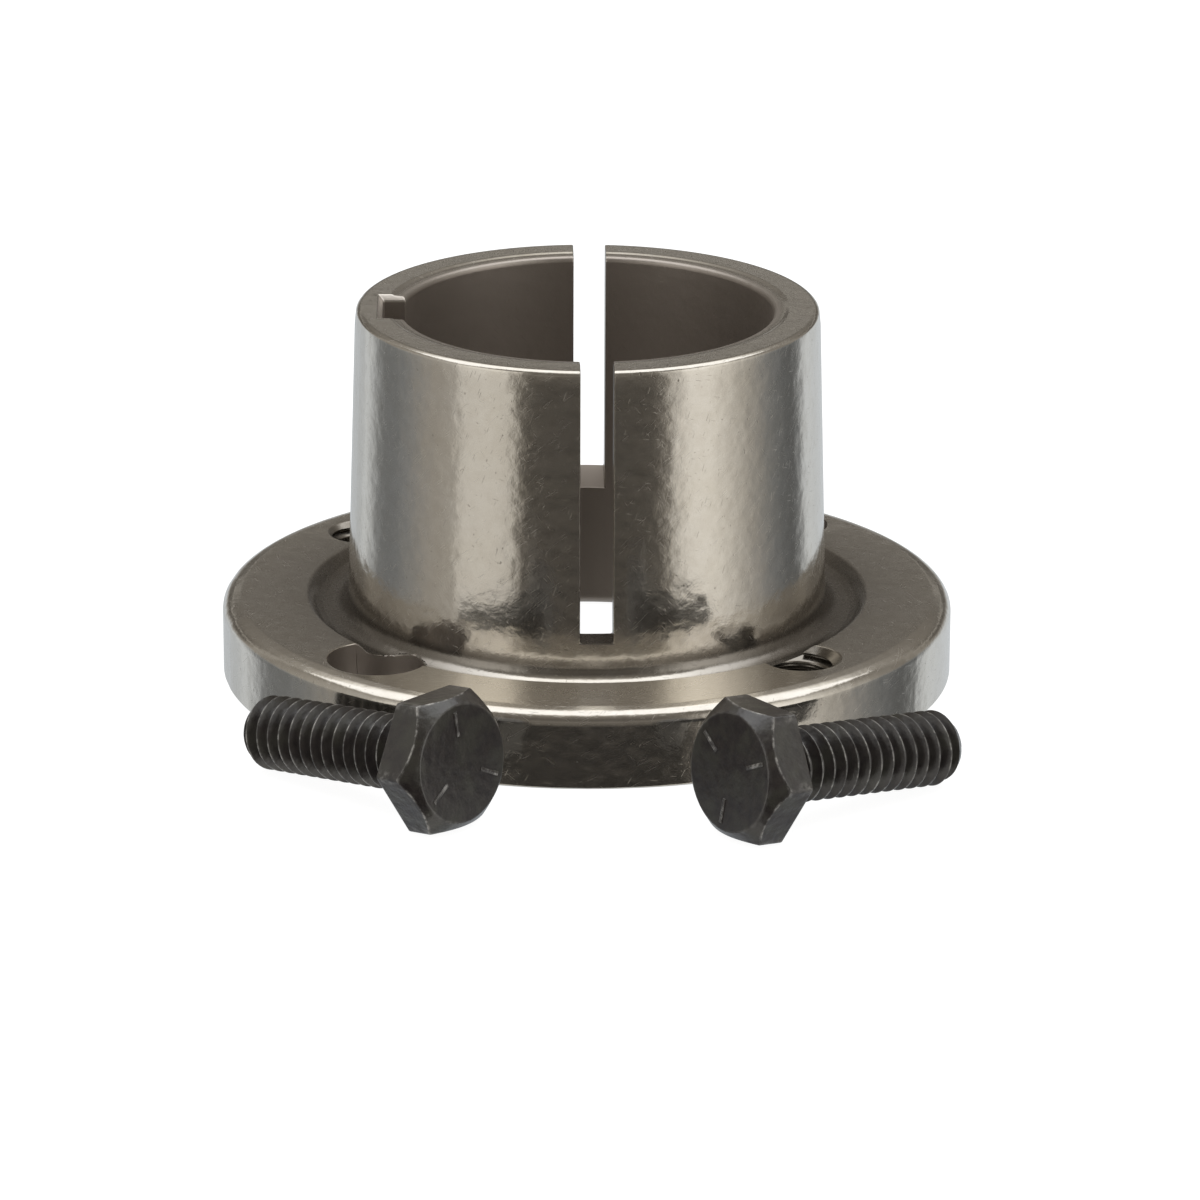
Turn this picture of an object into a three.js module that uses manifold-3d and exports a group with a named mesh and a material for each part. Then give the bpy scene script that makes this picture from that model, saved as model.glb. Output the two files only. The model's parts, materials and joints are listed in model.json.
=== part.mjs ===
// A flanged split taper bushing with its two hex cap screws.
//
// Units are millimetres and +Z is up. The origin is on the surface that everything rests on, at the
// centre of the box around the bushing and the screws. The bushing stands on its flange, with its
// bore axis parallel to Z at x = 0, y = AXIS_Y, and the two screws lie in front of it, towards -Y.
import * as THREE from 'three';
import { mergeVertices } from 'three/addons/utils/BufferGeometryUtils.js';
import Module from 'manifold-3d';

const wasm = await Module();
wasm.setup();

// ---------------------------------------------------------------- driving dimensions
const AXIS_Y = 8.1; // bore axis, from the origin

// Bushing, around its own axis with z = 0 at the flange's outer face
const LENGTH = 32.6; // flange face to small end
const BORE_R = 16.0; // bore, 1 1/4 in nominal, with clearance
const BORE_CHAMFER = 0.6; // at the flange end
// At the small end: the flat's radii, then the edges beside it as [radius, depth below the small end]
const RIM_FLAT = [17.35, 18.85];
const BORE_MOUTH = [[17.0, 0.12], [16.3, 0.17], [16.1, 0.32], [BORE_R, 0.6]];
const RIM_EDGE = [[19.25, 0.06], [19.8, 0.33], [19.92, 0.5]];
const LEAD_IN_END = [20.05, 1.45]; // where the taper starts
const TAPER = 1 / 32; // radius gained per length, 3/4 in per foot on diameter
const FLANGE_R = 31.75; // 2 1/2 in flange
const FLANGE_T = 6.85;
const FLANGE_EDGE = 0.2; // broken edge at the outer face
// The rolled hub-side edge, as [radius, height]
const FLANGE_ROLL = [[FLANGE_R, 5.2], [31.67, 5.85], [31.5, 6.22], [31.25, 6.5], [30.85, 6.7], [30.15, FLANGE_T]];
const GROOVE_R = 24.45; // outer edge of the relief groove round the barrel
const GROOVE_WALL = [[23.84, 0.48], [23.5, 0.9], [22.95, 1.19]]; // radius, and depth below the flange
const GROOVE_DEPTH = 1.27;
const FILLET_R = 1.5; // barrel to groove floor
const SLOT_W = 2.8; // the two saw cuts
const SLOT_X = 0.45; // the cuts run this far off the axis
const SLOT_FLOOR_FRONT = 8.3; // floor height at the bore
const SLOT_FLOOR_REAR = 11.06;
const SLOT_SLOPE = 0.15; // the floors rise outwards
const KEY_W = 6.35; // keyway, 1/4 in wide
const KEY_DEPTH = 1.6; // 1/16 in deep
const KEY_CHAMFER = 0.5; // break round its mouth at the small end

const BOLT_CIRCLE_R = 25.5;
const CLEAR_R = 4.25; // clearance holes for the cap screws
const CLEAR_ANGLES = [225, 46]; // degrees
const TAPPED_ANGLES = [314.5, 140]; // jack-screw holes, degrees
const COUNTERSINK = 0.2; // edge break of the tapped holes

// Cap screws, 1/4-20 x 3/4, along their own +X with x = 0 under the head
const PITCH = 25.4 / 20;
const CREST_R = 3.15;
const ROOT_R = 2.42;
const SCREW_LENGTH = 19.05;
const TIP_CHAMFER = [1.0, 0.85]; // axial, radial
const NECK = [0.9, 2.85]; // plain neck under the head: length, radius
const HEX_FLAT = 10.87 / 2; // half the width across flats
const HEAD_H = 4.1;
const WASHER_FACE = [0.4, 4.9]; // thickness, radius
const HEAD_TOP_R = 4.9; // flat on top of the head
const HEAD_SLOPE = 1.03; // its chamfer: axial fall per radius

// Where the screws lie: the middle of the head's underside, from the bore axis, and the way the tip points
const SCREWS = {
  left_cap_screw: { x: -13.8, y: -38.25, heading: 136.5 },
  right_cap_screw: { x: 14.0, y: -41.0, heading: 36.9 },
};

const RING_STEPS = 72; // facets round the bushing
const HOLE_STEPS = 24;
const THREAD_STEPS = 16; // facets per turn of thread
const PAST = 2; // how far a cutter runs past the face it cuts

const radians = (degrees) => (degrees * Math.PI) / 180;

// ---------------------------------------------------------------- solids
function toSolid(geometry) {
  geometry.deleteAttribute('normal');
  geometry.deleteAttribute('uv');
  const merged = mergeVertices(geometry, 1e-4);
  return new wasm.Manifold(new wasm.Mesh({
    numProp: 3,
    vertProperties: new Float32Array(merged.attributes.position.array),
    triVerts: new Uint32Array(merged.index.array),
  }));
}

function toGeometry(solid) {
  const mesh = solid.getMesh();
  const geometry = new THREE.BufferGeometry();
  geometry.setAttribute('position', new THREE.BufferAttribute(mesh.vertProperties, 3));
  geometry.setIndex(new THREE.BufferAttribute(mesh.triVerts, 1));
  geometry.computeVertexNormals();
  return geometry;
}

// A ring or disc round Z from [radius, height] points that close on themselves or end on the axis.
function turned(points, steps) {
  const outline = points.map(([r, z]) => new THREE.Vector2(r, z));
  return new THREE.LatheGeometry(outline, steps).rotateX(Math.PI / 2);
}

// The same round X, from [radius, distance along X] points.
function turnedAlongX(points, steps) {
  const outline = points.map(([r, x]) => new THREE.Vector2(r, x));
  return new THREE.LatheGeometry(outline, steps).rotateZ(-Math.PI / 2);
}

// A threaded rod along +X. One thread form follows a right-handed helix, and a fan from the axis
// closes each end.
function threadedRod(crestR, rootR, from, length) {
  const flank = (crestR - rootR) * Math.tan(Math.PI / 6);
  const crest = PITCH / 8;
  const root = PITCH - crest - 2 * flank;
  const form = [[0, rootR], [root, rootR], [root + flank, crestR], [root + flank + crest, crestR]];
  const last = form.length - 1;
  const steps = Math.ceil(length / PITCH) * THREAD_STEPS;
  const corners = [];
  for (let j = 0; j <= steps; j++) {
    const angle = (2 * Math.PI * j) / THREAD_STEPS;
    const start = from + (PITCH * j) / THREAD_STEPS;
    for (const [dx, r] of form) corners.push(start + dx, r * Math.cos(angle), r * Math.sin(angle));
  }
  const at = (j, k) => j * form.length + k;
  const faces = [];
  const quad = (a, b, c, d) => faces.push(a, c, b, a, d, c);
  for (let j = 0; j < steps; j++) {
    for (let k = 0; k < last; k++) quad(at(j, k), at(j, k + 1), at(j + 1, k + 1), at(j + 1, k));
    const next = j + THREAD_STEPS;
    if (next < steps) quad(at(j, last), at(next, 0), at(next + 1, 0), at(j + 1, last));
  }
  const back = [];
  const front = [];
  for (let j = 0; j <= THREAD_STEPS; j++) {
    back.push(at(j, 0));
    front.push(at(steps - THREAD_STEPS + j, last));
  }
  for (let k = last; k > 0; k--) {
    back.push(at(0, k));
  }
  for (let k = last - 1; k >= 0; k--) {
    front.push(at(steps, k));
  }
  const fan = (loop, x, outwards) => {
    const middle = corners.length / 3;
    corners.push(x, 0, 0);
    loop.forEach((corner, i) => {
      const following = loop[(i + 1) % loop.length];
      faces.push(...(outwards ? [middle, corner, following] : [middle, following, corner]));
    });
  };
  fan(back, from, false);
  fan(front, from + (PITCH * steps) / THREAD_STEPS + PITCH, true);
  const geometry = new THREE.BufferGeometry();
  geometry.setAttribute('position', new THREE.Float32BufferAttribute(corners, 3));
  geometry.setIndex(faces);
  return toSolid(geometry);
}

// ---------------------------------------------------------------- bushing
function bushingBlank() {
  const barrelR = (z) => LEAD_IN_END[0] + TAPER * (LENGTH - LEAD_IN_END[1] - z);
  const belowEnd = ([r, depth]) => [r, LENGTH - depth];
  const grooveFloor = FLANGE_T - GROOVE_DEPTH;
  const filletTop = grooveFloor + FILLET_R;
  const filletX = barrelR(filletTop) + FILLET_R;
  const fillet = [];
  const filletSteps = 4;
  for (let i = 0; i <= filletSteps; i++) {
    const angle = -Math.PI / 2 - (i * Math.PI) / (2 * filletSteps);
    fillet.push([filletX + FILLET_R * Math.cos(angle), filletTop + FILLET_R * Math.sin(angle)]);
  }
  return toSolid(turned([
    [BORE_R + BORE_CHAMFER, 0],
    [FLANGE_R - FLANGE_EDGE, 0],
    [FLANGE_R, FLANGE_EDGE],
    ...FLANGE_ROLL,
    [GROOVE_R, FLANGE_T],
    ...GROOVE_WALL.map(([r, depth]) => [r, FLANGE_T - depth]),
    ...fillet,
    belowEnd(LEAD_IN_END),
    ...RIM_EDGE.map(belowEnd).reverse(),
    [RIM_FLAT[1], LENGTH],
    [RIM_FLAT[0], LENGTH],
    ...BORE_MOUTH.map(belowEnd),
    [BORE_R, BORE_CHAMFER],
    [BORE_R + BORE_CHAMFER, 0],
  ], RING_STEPS));
}

// A saw cut through one side of the barrel. Its floor rises outwards, and it ends above the flange.
function slotCutter(side, floor) {
  const inner = BORE_R - 6;
  const outer = GROOVE_R + PAST;
  const height = (y) => floor + SLOT_SLOPE * (y - BORE_R);
  const outline = new THREE.Shape([
    new THREE.Vector2(inner, height(inner)),
    new THREE.Vector2(outer, height(outer)),
    new THREE.Vector2(outer, LENGTH + PAST),
    new THREE.Vector2(inner, LENGTH + PAST),
  ]);
  const cut = new THREE.ExtrudeGeometry(outline, { depth: SLOT_W, bevelEnabled: false });
  cut.translate(0, 0, -SLOT_W / 2);
  cut.rotateX(Math.PI / 2);
  cut.rotateZ((side * Math.PI) / 2);
  return toSolid(cut.translate(SLOT_X, 0, 0));
}

// The keyway, on the -X side, with its mouth broken at the small end on the floor and both side walls.
function keywayCutter() {
  const floorX = BORE_R + KEY_DEPTH;
  const inner = BORE_R - 4;
  const depth = floorX - inner;
  const key = new THREE.BoxGeometry(depth, KEY_W, LENGTH + 2 * PAST);
  key.translate(-inner - depth / 2, 0, LENGTH / 2);
  const section = (grow, z) => {
    const halfW = KEY_W / 2 + grow;
    return [[-floorX - grow, -halfW, z], [-inner, -halfW, z], [-inner, halfW, z], [-floorX - grow, halfW, z]];
  };
  const mouth = [...section(0, LENGTH - KEY_CHAMFER), ...section(KEY_CHAMFER + PAST, LENGTH + PAST)];
  return toSolid(key).add(wasm.Manifold.hull(mouth));
}

function onBoltCircle(solid, degrees) {
  const angle = radians(degrees);
  return solid.translate([BOLT_CIRCLE_R * Math.cos(angle), BOLT_CIRCLE_R * Math.sin(angle), 0]);
}

function clearanceHole() {
  const length = FLANGE_T + 2 * PAST;
  return toSolid(turned([
    [0, -PAST], [CLEAR_R, -PAST], [CLEAR_R, length - PAST], [0, length - PAST],
  ], HOLE_STEPS));
}

function tappedHole() {
  const mouthR = CREST_R + COUNTERSINK;
  const sink = (low, high, lowR, highR) => toSolid(turned([
    [0, low], [lowR, low], [highR, high], [0, high],
  ], HOLE_STEPS));
  const thread = threadedRod(CREST_R + 0.03, ROOT_R + 0.1, -2 * PITCH, FLANGE_T + 5 * PITCH);
  return thread.rotate([0, -90, 0])
    .add(sink(-PAST, 0.8, mouthR + PAST, mouthR - 0.8))
    .add(sink(FLANGE_T - 0.8, FLANGE_T + PAST, mouthR - 0.8, mouthR + PAST));
}

function bushingBody() {
  let body = bushingBlank()
    .subtract(slotCutter(-1, SLOT_FLOOR_FRONT))
    .subtract(slotCutter(1, SLOT_FLOOR_REAR))
    .subtract(keywayCutter());
  for (const degrees of CLEAR_ANGLES) body = body.subtract(onBoltCircle(clearanceHole(), degrees));
  for (const degrees of TAPPED_ANGLES) body = body.subtract(onBoltCircle(tappedHole(), degrees));
  return toGeometry(body);
}

// ---------------------------------------------------------------- cap screws
function screwHead() {
  const cornerR = HEX_FLAT / Math.cos(Math.PI / 6);
  const hexLength = HEAD_H - WASHER_FACE[0];
  const hex = new THREE.CylinderGeometry(cornerR, cornerR, hexLength, 6);
  hex.rotateZ(Math.PI / 2).rotateX(Math.PI / 6).translate(-WASHER_FACE[0] - hexLength / 2, 0, 0);
  const wide = cornerR + 0.5;
  const chamfer = turnedAlongX([
    [0, -HEAD_H],
    [HEAD_TOP_R, -HEAD_H],
    [wide, -HEAD_H + (wide - HEAD_TOP_R) * HEAD_SLOPE],
    [wide, PAST],
    [0, PAST],
  ], 48);
  const washer = turnedAlongX([
    [0, -WASHER_FACE[0] - 0.3], [WASHER_FACE[1], -WASHER_FACE[0] - 0.3], [WASHER_FACE[1], 0], [0, 0],
  ], 24);
  return toSolid(hex).intersect(toSolid(chamfer)).add(toSolid(washer));
}

function screwShank() {
  const tipR = CREST_R - TIP_CHAMFER[1];
  const envelope = turnedAlongX([
    [0, -0.2],
    [CREST_R + 0.2, -0.2],
    [CREST_R + 0.2, SCREW_LENGTH - TIP_CHAMFER[0] - 0.2 * TIP_CHAMFER[0] / TIP_CHAMFER[1]],
    [tipR, SCREW_LENGTH],
    [0, SCREW_LENGTH],
  ], 32);
  const neck = turnedAlongX([
    [0, -0.2], [NECK[1] + 0.35, -0.2], [NECK[1], NECK[0] / 2], [NECK[1], NECK[0]], [0, NECK[0]],
  ], 24);
  const thread = threadedRod(CREST_R, ROOT_R, -PITCH / 2, SCREW_LENGTH + PITCH);
  return thread.intersect(toSolid(envelope)).add(toSolid(neck));
}

function capScrew() {
  return toGeometry(screwHead().add(screwShank()));
}

// A screw rests on the rear edge of one flat of its head and on the last crest of its thread.
function layDown(mesh, { x, y, heading }) {
  const rearEdge = -WASHER_FACE[0];
  const lastCrest = SCREW_LENGTH - TIP_CHAMFER[0];
  const tilt = Math.atan2(HEX_FLAT - CREST_R, lastCrest - rearEdge);
  const slope = new THREE.Group();
  const place = new THREE.Group();
  slope.rotation.y = tilt;
  slope.add(mesh);
  place.position.set(x, y, HEX_FLAT * Math.cos(tilt) + rearEdge * Math.sin(tilt));
  place.rotation.z = radians(heading);
  place.add(slope);
  return place;
}

// ---------------------------------------------------------------- assembly
const steel = new THREE.MeshStandardMaterial({ color: 0x77706a, roughness: 0.4, metalness: 1 });
const blackOxide = new THREE.MeshStandardMaterial({ color: 0x1c1b1a, roughness: 0.5, metalness: 0.8 });

const bushing = new THREE.Mesh(bushingBody(), steel);
bushing.name = 'bushing_body';

const assembly = new THREE.Group();
assembly.position.y = AXIS_Y;
assembly.add(bushing);
for (const [name, lie] of Object.entries(SCREWS)) {
  const screw = new THREE.Mesh(capScrew(), blackOxide);
  screw.name = name;
  assembly.add(layDown(screw, lie));
}

const part = new THREE.Group();
part.add(assembly);

export default part;
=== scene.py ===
"""A flanged split taper bushing with two loose hex cap screws, on a pale floor under soft light.

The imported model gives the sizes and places. The three pieces are rebuilt here as fine meshes with
rounded edges and real threads. Lengths in this script are millimetres in each piece's own frame, and
a mesh is turned into metres in the row's frame as it is made.
"""

import json
import math
from contextlib import contextmanager

import bmesh
import bpy
import numpy as np
from mathutils import Matrix, Vector


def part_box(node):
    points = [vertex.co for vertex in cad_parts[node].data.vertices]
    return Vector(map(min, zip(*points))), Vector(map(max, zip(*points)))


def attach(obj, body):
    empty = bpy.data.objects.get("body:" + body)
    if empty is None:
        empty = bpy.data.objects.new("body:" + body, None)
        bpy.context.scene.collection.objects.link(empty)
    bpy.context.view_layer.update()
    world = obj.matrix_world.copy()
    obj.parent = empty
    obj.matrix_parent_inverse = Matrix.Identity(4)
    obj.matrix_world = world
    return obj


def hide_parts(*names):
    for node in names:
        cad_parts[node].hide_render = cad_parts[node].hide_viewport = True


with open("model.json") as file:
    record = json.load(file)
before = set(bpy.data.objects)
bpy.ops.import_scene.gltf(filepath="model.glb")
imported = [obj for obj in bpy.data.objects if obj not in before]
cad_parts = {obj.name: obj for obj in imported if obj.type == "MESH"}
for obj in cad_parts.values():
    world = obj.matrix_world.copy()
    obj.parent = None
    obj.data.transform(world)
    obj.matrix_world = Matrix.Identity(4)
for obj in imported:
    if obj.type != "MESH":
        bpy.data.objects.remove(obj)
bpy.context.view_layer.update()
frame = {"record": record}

MM = 0.001
FULL_TURN = 2 * math.pi


# ---------------------------------------------------------------- sizes from the frame
def mount_height(name):
    """How high a mount is above the surface that the part stands on, in mm."""
    mount = next(m for m in frame["record"]["mounts"] if m["name"] == name)
    return mount["pos_m"][2] / MM


BUSHING_LOW, BUSHING_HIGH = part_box("bushing_body")
AXIS = (BUSHING_LOW + BUSHING_HIGH) / 2
AXIS.z = BUSHING_LOW.z
FLANGE_R = (BUSHING_HIGH.x - BUSHING_LOW.x) / 2 / MM
LENGTH = mount_height("small_end_face")
FLANGE_T = mount_height("flange_hub_face")

# ---------------------------------------------------------------- bushing sizes
BORE_R = 16.0
BORE_CHAMFER = 0.6
RIM_FLAT = (17.35, 19.48)  # inner and outer radius of the flat end
# the next outlines go by radius and depth below the small end
BORE_MOUTH = [(17.0, 0.12), (16.3, 0.17), (16.1, 0.32), (BORE_R, BORE_CHAMFER)]
RIM_EDGE = [(19.62, 0.03), (19.79, 0.13), (19.92, 0.28), (19.95, 0.46)]
LEAD_IN_END = (20.05, 1.45)
TAPER = 1 / 32  # on the radius
FLANGE_EDGE = 0.2  # broken edge at the outer face
# and these by radius and depth below the flange's hub side
FLANGE_ROLL = [(31.75, 1.2), (31.7, 0.93), (31.5, 0.6), (31.25, 0.35), (30.85, 0.15), (30.15, 0)]
GROOVE_R = 24.45
GROOVE_WALL = [(24.2, 0.13), (23.84, 0.48), (23.5, 0.9), (22.95, 1.19)]
GROOVE_DEPTH = 1.27
FILLET_R = 1.5
FILLET_TOP = FLANGE_T - GROOVE_DEPTH + FILLET_R
SLOT_W = 2.8
SLOT_X = 0.45
SLOT_SLOPE = 0.15
SLOT_FLOORS = {-1: 8.3, 1: 11.06}  # front and rear cut: floor height at the bore
KEY_W = 6.35
KEY_DEPTH = 1.6
KEY_BREAK = 0.5
BOLT_CIRCLE_R = 25.5
CLEAR_R = 4.25
CLEAR_ANGLES = (225, 46)
TAPPED_ANGLES = (314.5, 140)
SINK_EDGE = 0.2
HOLE_STEPS = 96
BORE_CLEARANCE, CREST_CLEARANCE, ROOT_CLEARANCE = 0.1, 0.05, 0.12  # a tapped hole's radii over its screw's
WIDEST_BEVEL = 0.3
OVER = 2  # how far the cutters reach past the metal

# ---------------------------------------------------------------- screw sizes
PITCH = 25.4 / 20
CREST_R = 3.15
ROOT_R = 2.4
SCREW_LENGTH = 19.05
TIP_CHAMFER = (1.05, 0.85)  # axial, radial
TIP_R = 0.02  # the end face's rows stop at this radius, and a fan closes it
NECK_R = 2.85
NECK_FILLET = 0.4
HEX_FLAT = 10.87 / 2
HEX_CORNER = 0.3  # radius of the head's six upright edges
HEAD_H = 4.1
WASHER_T = 0.4
WASHER_R = 4.9
HEAD_TOP_R = 4.9
HEAD_SLOPE = 1.03  # its chamfer: axial fall per radius
# a mark's cross-sections: height above the head's top, half width, inner and outer end, and wear
MARK_LEVELS = [
    (-0.2, 0.2, 2.25, 4.4, 0),
    (0.02, 0.19, 2.26, 4.39, 0),
    (0.1, 0.12, 2.33, 4.32, 1),
    (0.13, 0.05, 2.4, 4.25, 1),
]
THREAD_START = 0.7
LAST_CREST = SCREW_LENGTH - 1.0
# the middle of each head's underside, from the bushing's axis, and the turns of shank and marks in degrees
SCREWS = {
    "left": {"x": -13.8, "y": -38.25, "heading": 136.5, "marks": 94},
    "right": {"x": 14.0, "y": -41.0, "heading": 36.9, "marks": 145},
}


# ---------------------------------------------------------------- mesh helpers
def mesh_object(name, verts, faces):
    mesh = bpy.data.meshes.new(name)
    mesh.from_pydata([tuple(v) for v in verts], [], faces)
    mesh.validate()
    piece = bpy.data.objects.new(name, mesh)
    bpy.context.scene.collection.objects.link(piece)
    return piece


@contextmanager
def edited(piece):
    """The piece's mesh as a BMesh, written back at the end."""
    bm = bmesh.new()
    bm.from_mesh(piece.data)
    yield bm
    bm.to_mesh(piece.data)
    bm.free()


def outward(piece):
    """Turns every face outwards."""
    with edited(piece) as bm:
        bmesh.ops.recalc_face_normals(bm, faces=bm.faces)
    return piece


def lathe(name, profile, angles):
    """A closed ring from a closed (radius, height) profile, with a column at each angle."""
    rows, columns = len(profile), len(angles)
    verts = [(r * math.cos(a), r * math.sin(a), z) for a in angles for r, z in profile]
    faces = []
    for c in range(columns):
        d = (c + 1) % columns
        for k in range(rows):
            m = (k + 1) % rows
            faces.append((c * rows + k, d * rows + k, d * rows + m, c * rows + m))
    return outward(mesh_object(name, verts, faces))


def spun(name, profile, steps):
    """A closed solid from a (radius, height) profile whose two ends are on the axis."""
    verts = [(0, 0, profile[0][1]), (0, 0, profile[-1][1])]
    inner = profile[1:-1]
    for s in range(steps):
        a = FULL_TURN * s / steps
        verts += [(r * math.cos(a), r * math.sin(a), z) for r, z in inner]
    count = len(inner)

    def at(s, k):
        return 2 + (s % steps) * count + k

    faces = []
    for s in range(steps):
        faces.append((0, at(s, 0), at(s + 1, 0)))
        faces += [(at(s, k), at(s, k + 1), at(s + 1, k + 1), at(s + 1, k)) for k in range(count - 1)]
        faces.append((1, at(s + 1, count - 1), at(s, count - 1)))
    return outward(mesh_object(name, verts, faces))


def prism(name, outline, low, high, place):
    """A closed prism: outline points (a, b) at c = low and c = high, each put in place by place(a, b, c)."""
    count = len(outline)
    verts = [place(a, b, c) for c in (low, high) for a, b in outline]
    sides = [(k, (k + 1) % count, count + (k + 1) % count, count + k) for k in range(count)]
    caps = [tuple(reversed(range(count))), tuple(range(count, 2 * count))]
    return outward(mesh_object(name, verts, sides + caps))


def evaluated(piece):
    """The piece with its modifiers applied."""
    bpy.context.view_layer.update()
    depsgraph = bpy.context.evaluated_depsgraph_get()
    mesh = bpy.data.meshes.new_from_object(
        piece.evaluated_get(depsgraph), preserve_all_data_layers=True, depsgraph=depsgraph)
    piece.modifiers.clear()
    old, piece.data = piece.data, mesh
    bpy.data.meshes.remove(old)
    return piece


def cut(piece, cutters):
    for cutter in cutters:
        modifier = piece.modifiers.new("cut", "BOOLEAN")
        modifier.operation = "DIFFERENCE"
        modifier.solver = "EXACT"
        modifier.object = cutter
        evaluated(piece)
        bpy.data.objects.remove(cutter)
    return piece


def to_row_frame(piece, matrix):
    piece.data.transform(Matrix.Scale(MM, 4) @ matrix)
    return piece


def smooth(piece, sharp_degrees):
    mesh = piece.data
    mesh.polygons.foreach_set("use_smooth", [True] * len(mesh.polygons))
    mesh.set_sharp_from_angle(angle=math.radians(sharp_degrees))
    modifier = piece.modifiers.new("weighted", "WEIGHTED_NORMAL")
    modifier.keep_sharp = True
    return evaluated(piece)


# ---------------------------------------------------------------- thread
def thread_radius(along, crest_r, root_r):
    """Radius of a 60 degree thread with rounded crest and root. along is in turns, with a crest at 0.5."""
    half_flat, softness = 0.05, 0.05
    shortfall = 0.001  # keeps a crest just under its nominal radius
    away = np.abs(along - 0.5) * PITCH
    flank = crest_r - np.maximum(away - half_flat, 0) / math.tan(math.radians(30))
    return root_r + softness * np.logaddexp(0, (flank - root_r) / softness) - shortfall


# where the rows of points lie within one turn, closest together at the crest
THREAD_FORM = np.array([0, 0.09, 0.17, 0.24, 0.3, 0.36, 0.42, 0.455, 0.485,
                        0.515, 0.545, 0.58, 0.64, 0.7, 0.76, 0.83, 0.91])


def thread_grid(angles, turns, start):
    """A right-handed helical grid: distance along by column and row, and each row's place in its turn."""
    rows = (np.arange(turns)[:, None] + THREAD_FORM[None, :]).ravel()
    return start + PITCH * (rows[None, :] + angles[:, None] / FULL_TURN), rows % 1.0


def threaded_cutter(name, low, turns, crest_r, root_r, steps):
    """A threaded rod along +Z, closed at both ends, for cutting a tapped hole."""
    angles = np.linspace(0, FULL_TURN, steps + 1)
    along, form = thread_grid(angles, turns, low)
    radius = thread_radius(form, crest_r, root_r)
    columns, rows = along.shape
    verts = [(radius[k] * math.cos(angles[c]), radius[k] * math.sin(angles[c]), along[c, k])
             for c in range(columns) for k in range(rows)]

    def at(c, k):
        return c * rows + k

    shift = len(THREAD_FORM)
    faces = [(at(c, k), at(c + 1, k), at(c + 1, k + 1), at(c, k + 1))
             for c in range(steps) for k in range(rows - 1)]
    verts += [(0, 0, low - PITCH / 2), (0, 0, along[-1, -1] + PITCH / 2)]
    bottom, top = len(verts) - 2, len(verts) - 1
    faces += [(bottom, at(c + 1, 0), at(c, 0)) for c in range(steps)]
    faces += [(top, at(c, rows - 1), at(c + 1, rows - 1)) for c in range(steps)]
    faces += [(bottom, *[at(0, k) for k in range(shift + 1)])]
    faces += [(top, *[at(steps, k) for k in range(rows - 1, rows - 2 - shift, -1)])]
    piece = mesh_object(name, verts, faces)
    with edited(piece) as bm:
        bmesh.ops.remove_doubles(bm, verts=bm.verts, dist=1e-5)
        bmesh.ops.recalc_face_normals(bm, faces=bm.faces)
    return piece


# ---------------------------------------------------------------- bushing
def barrel_r(z):
    return LEAD_IN_END[0] + TAPER * (LENGTH - LEAD_IN_END[1] - z)


def bushing_profile():
    """Closed outline of the bushing's section, with the width of each corner's rounding."""
    centre = barrel_r(FILLET_TOP) + FILLET_R
    steps = 12
    fillet = []
    for i in range(steps + 1):
        a = -math.pi / 2 - i * math.pi / (2 * steps)
        fillet.append((centre + FILLET_R * math.cos(a), FILLET_TOP + FILLET_R * math.sin(a), 0))
    shade_end = FILLET_TOP + 0.6  # a ring where the painted shade of the groove and fillet has ended
    return [
        (BORE_R + BORE_CHAMFER, 0, 0.2),
        (FLANGE_R - FLANGE_EDGE, 0, 0.08),
        (FLANGE_R, FLANGE_EDGE, 0.08),
        *[(r, FLANGE_T - depth, 0.12) for r, depth in FLANGE_ROLL],
        (GROOVE_R, FLANGE_T, 0.08),
        *[(r, FLANGE_T - depth, 0.12) for r, depth in GROOVE_WALL],
        *fillet,
        (barrel_r(shade_end), shade_end, 0),
        (LEAD_IN_END[0], LENGTH - LEAD_IN_END[1], 0.05),
        *[(r, LENGTH - depth, 0.06) for r, depth in reversed(RIM_EDGE)],
        (RIM_FLAT[1], LENGTH, 0.1),
        (RIM_FLAT[0], LENGTH, 0.1),
        *[(r, LENGTH - depth, 0.08) for r, depth in BORE_MOUTH],
        (BORE_R, BORE_CHAMFER, WIDEST_BEVEL),
    ]


def bushing_columns():
    """Column angles, one a degree, left out where a slot's or the keyway's walls run close by."""
    slot_margin, key_margin, past_key = 0.3, 0.35, 1.2
    kept = []
    for degree in np.arange(0, 360, 1.0):
        a = math.radians(degree)
        near = False
        for r in np.linspace(BORE_R, barrel_r(SLOT_FLOORS[-1]), 9):
            x, y = r * math.cos(a), r * math.sin(a)
            near |= abs(abs(x - SLOT_X) - SLOT_W / 2) < slot_margin
            near |= x < 0 and abs(abs(y) - KEY_W / 2) < key_margin and r < BORE_R + KEY_DEPTH + past_key
        if not near:
            kept.append(a)
    return kept


def slot_cutter(side):
    """Cuts the slot on one side, from inside the bore to past the groove. Its floor slopes."""
    inner, outer = BORE_R - 3 * OVER, GROOVE_R + OVER
    inner_floor, outer_floor = (SLOT_FLOORS[side] + SLOT_SLOPE * (y - BORE_R) for y in (inner, outer))
    outline = [(inner, inner_floor), (outer, outer_floor), (outer, LENGTH + OVER), (inner, LENGTH + OVER)]
    return prism("slot", outline, -SLOT_W / 2, SLOT_W / 2, lambda a, b, c: (c + SLOT_X, side * a, b))


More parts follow.
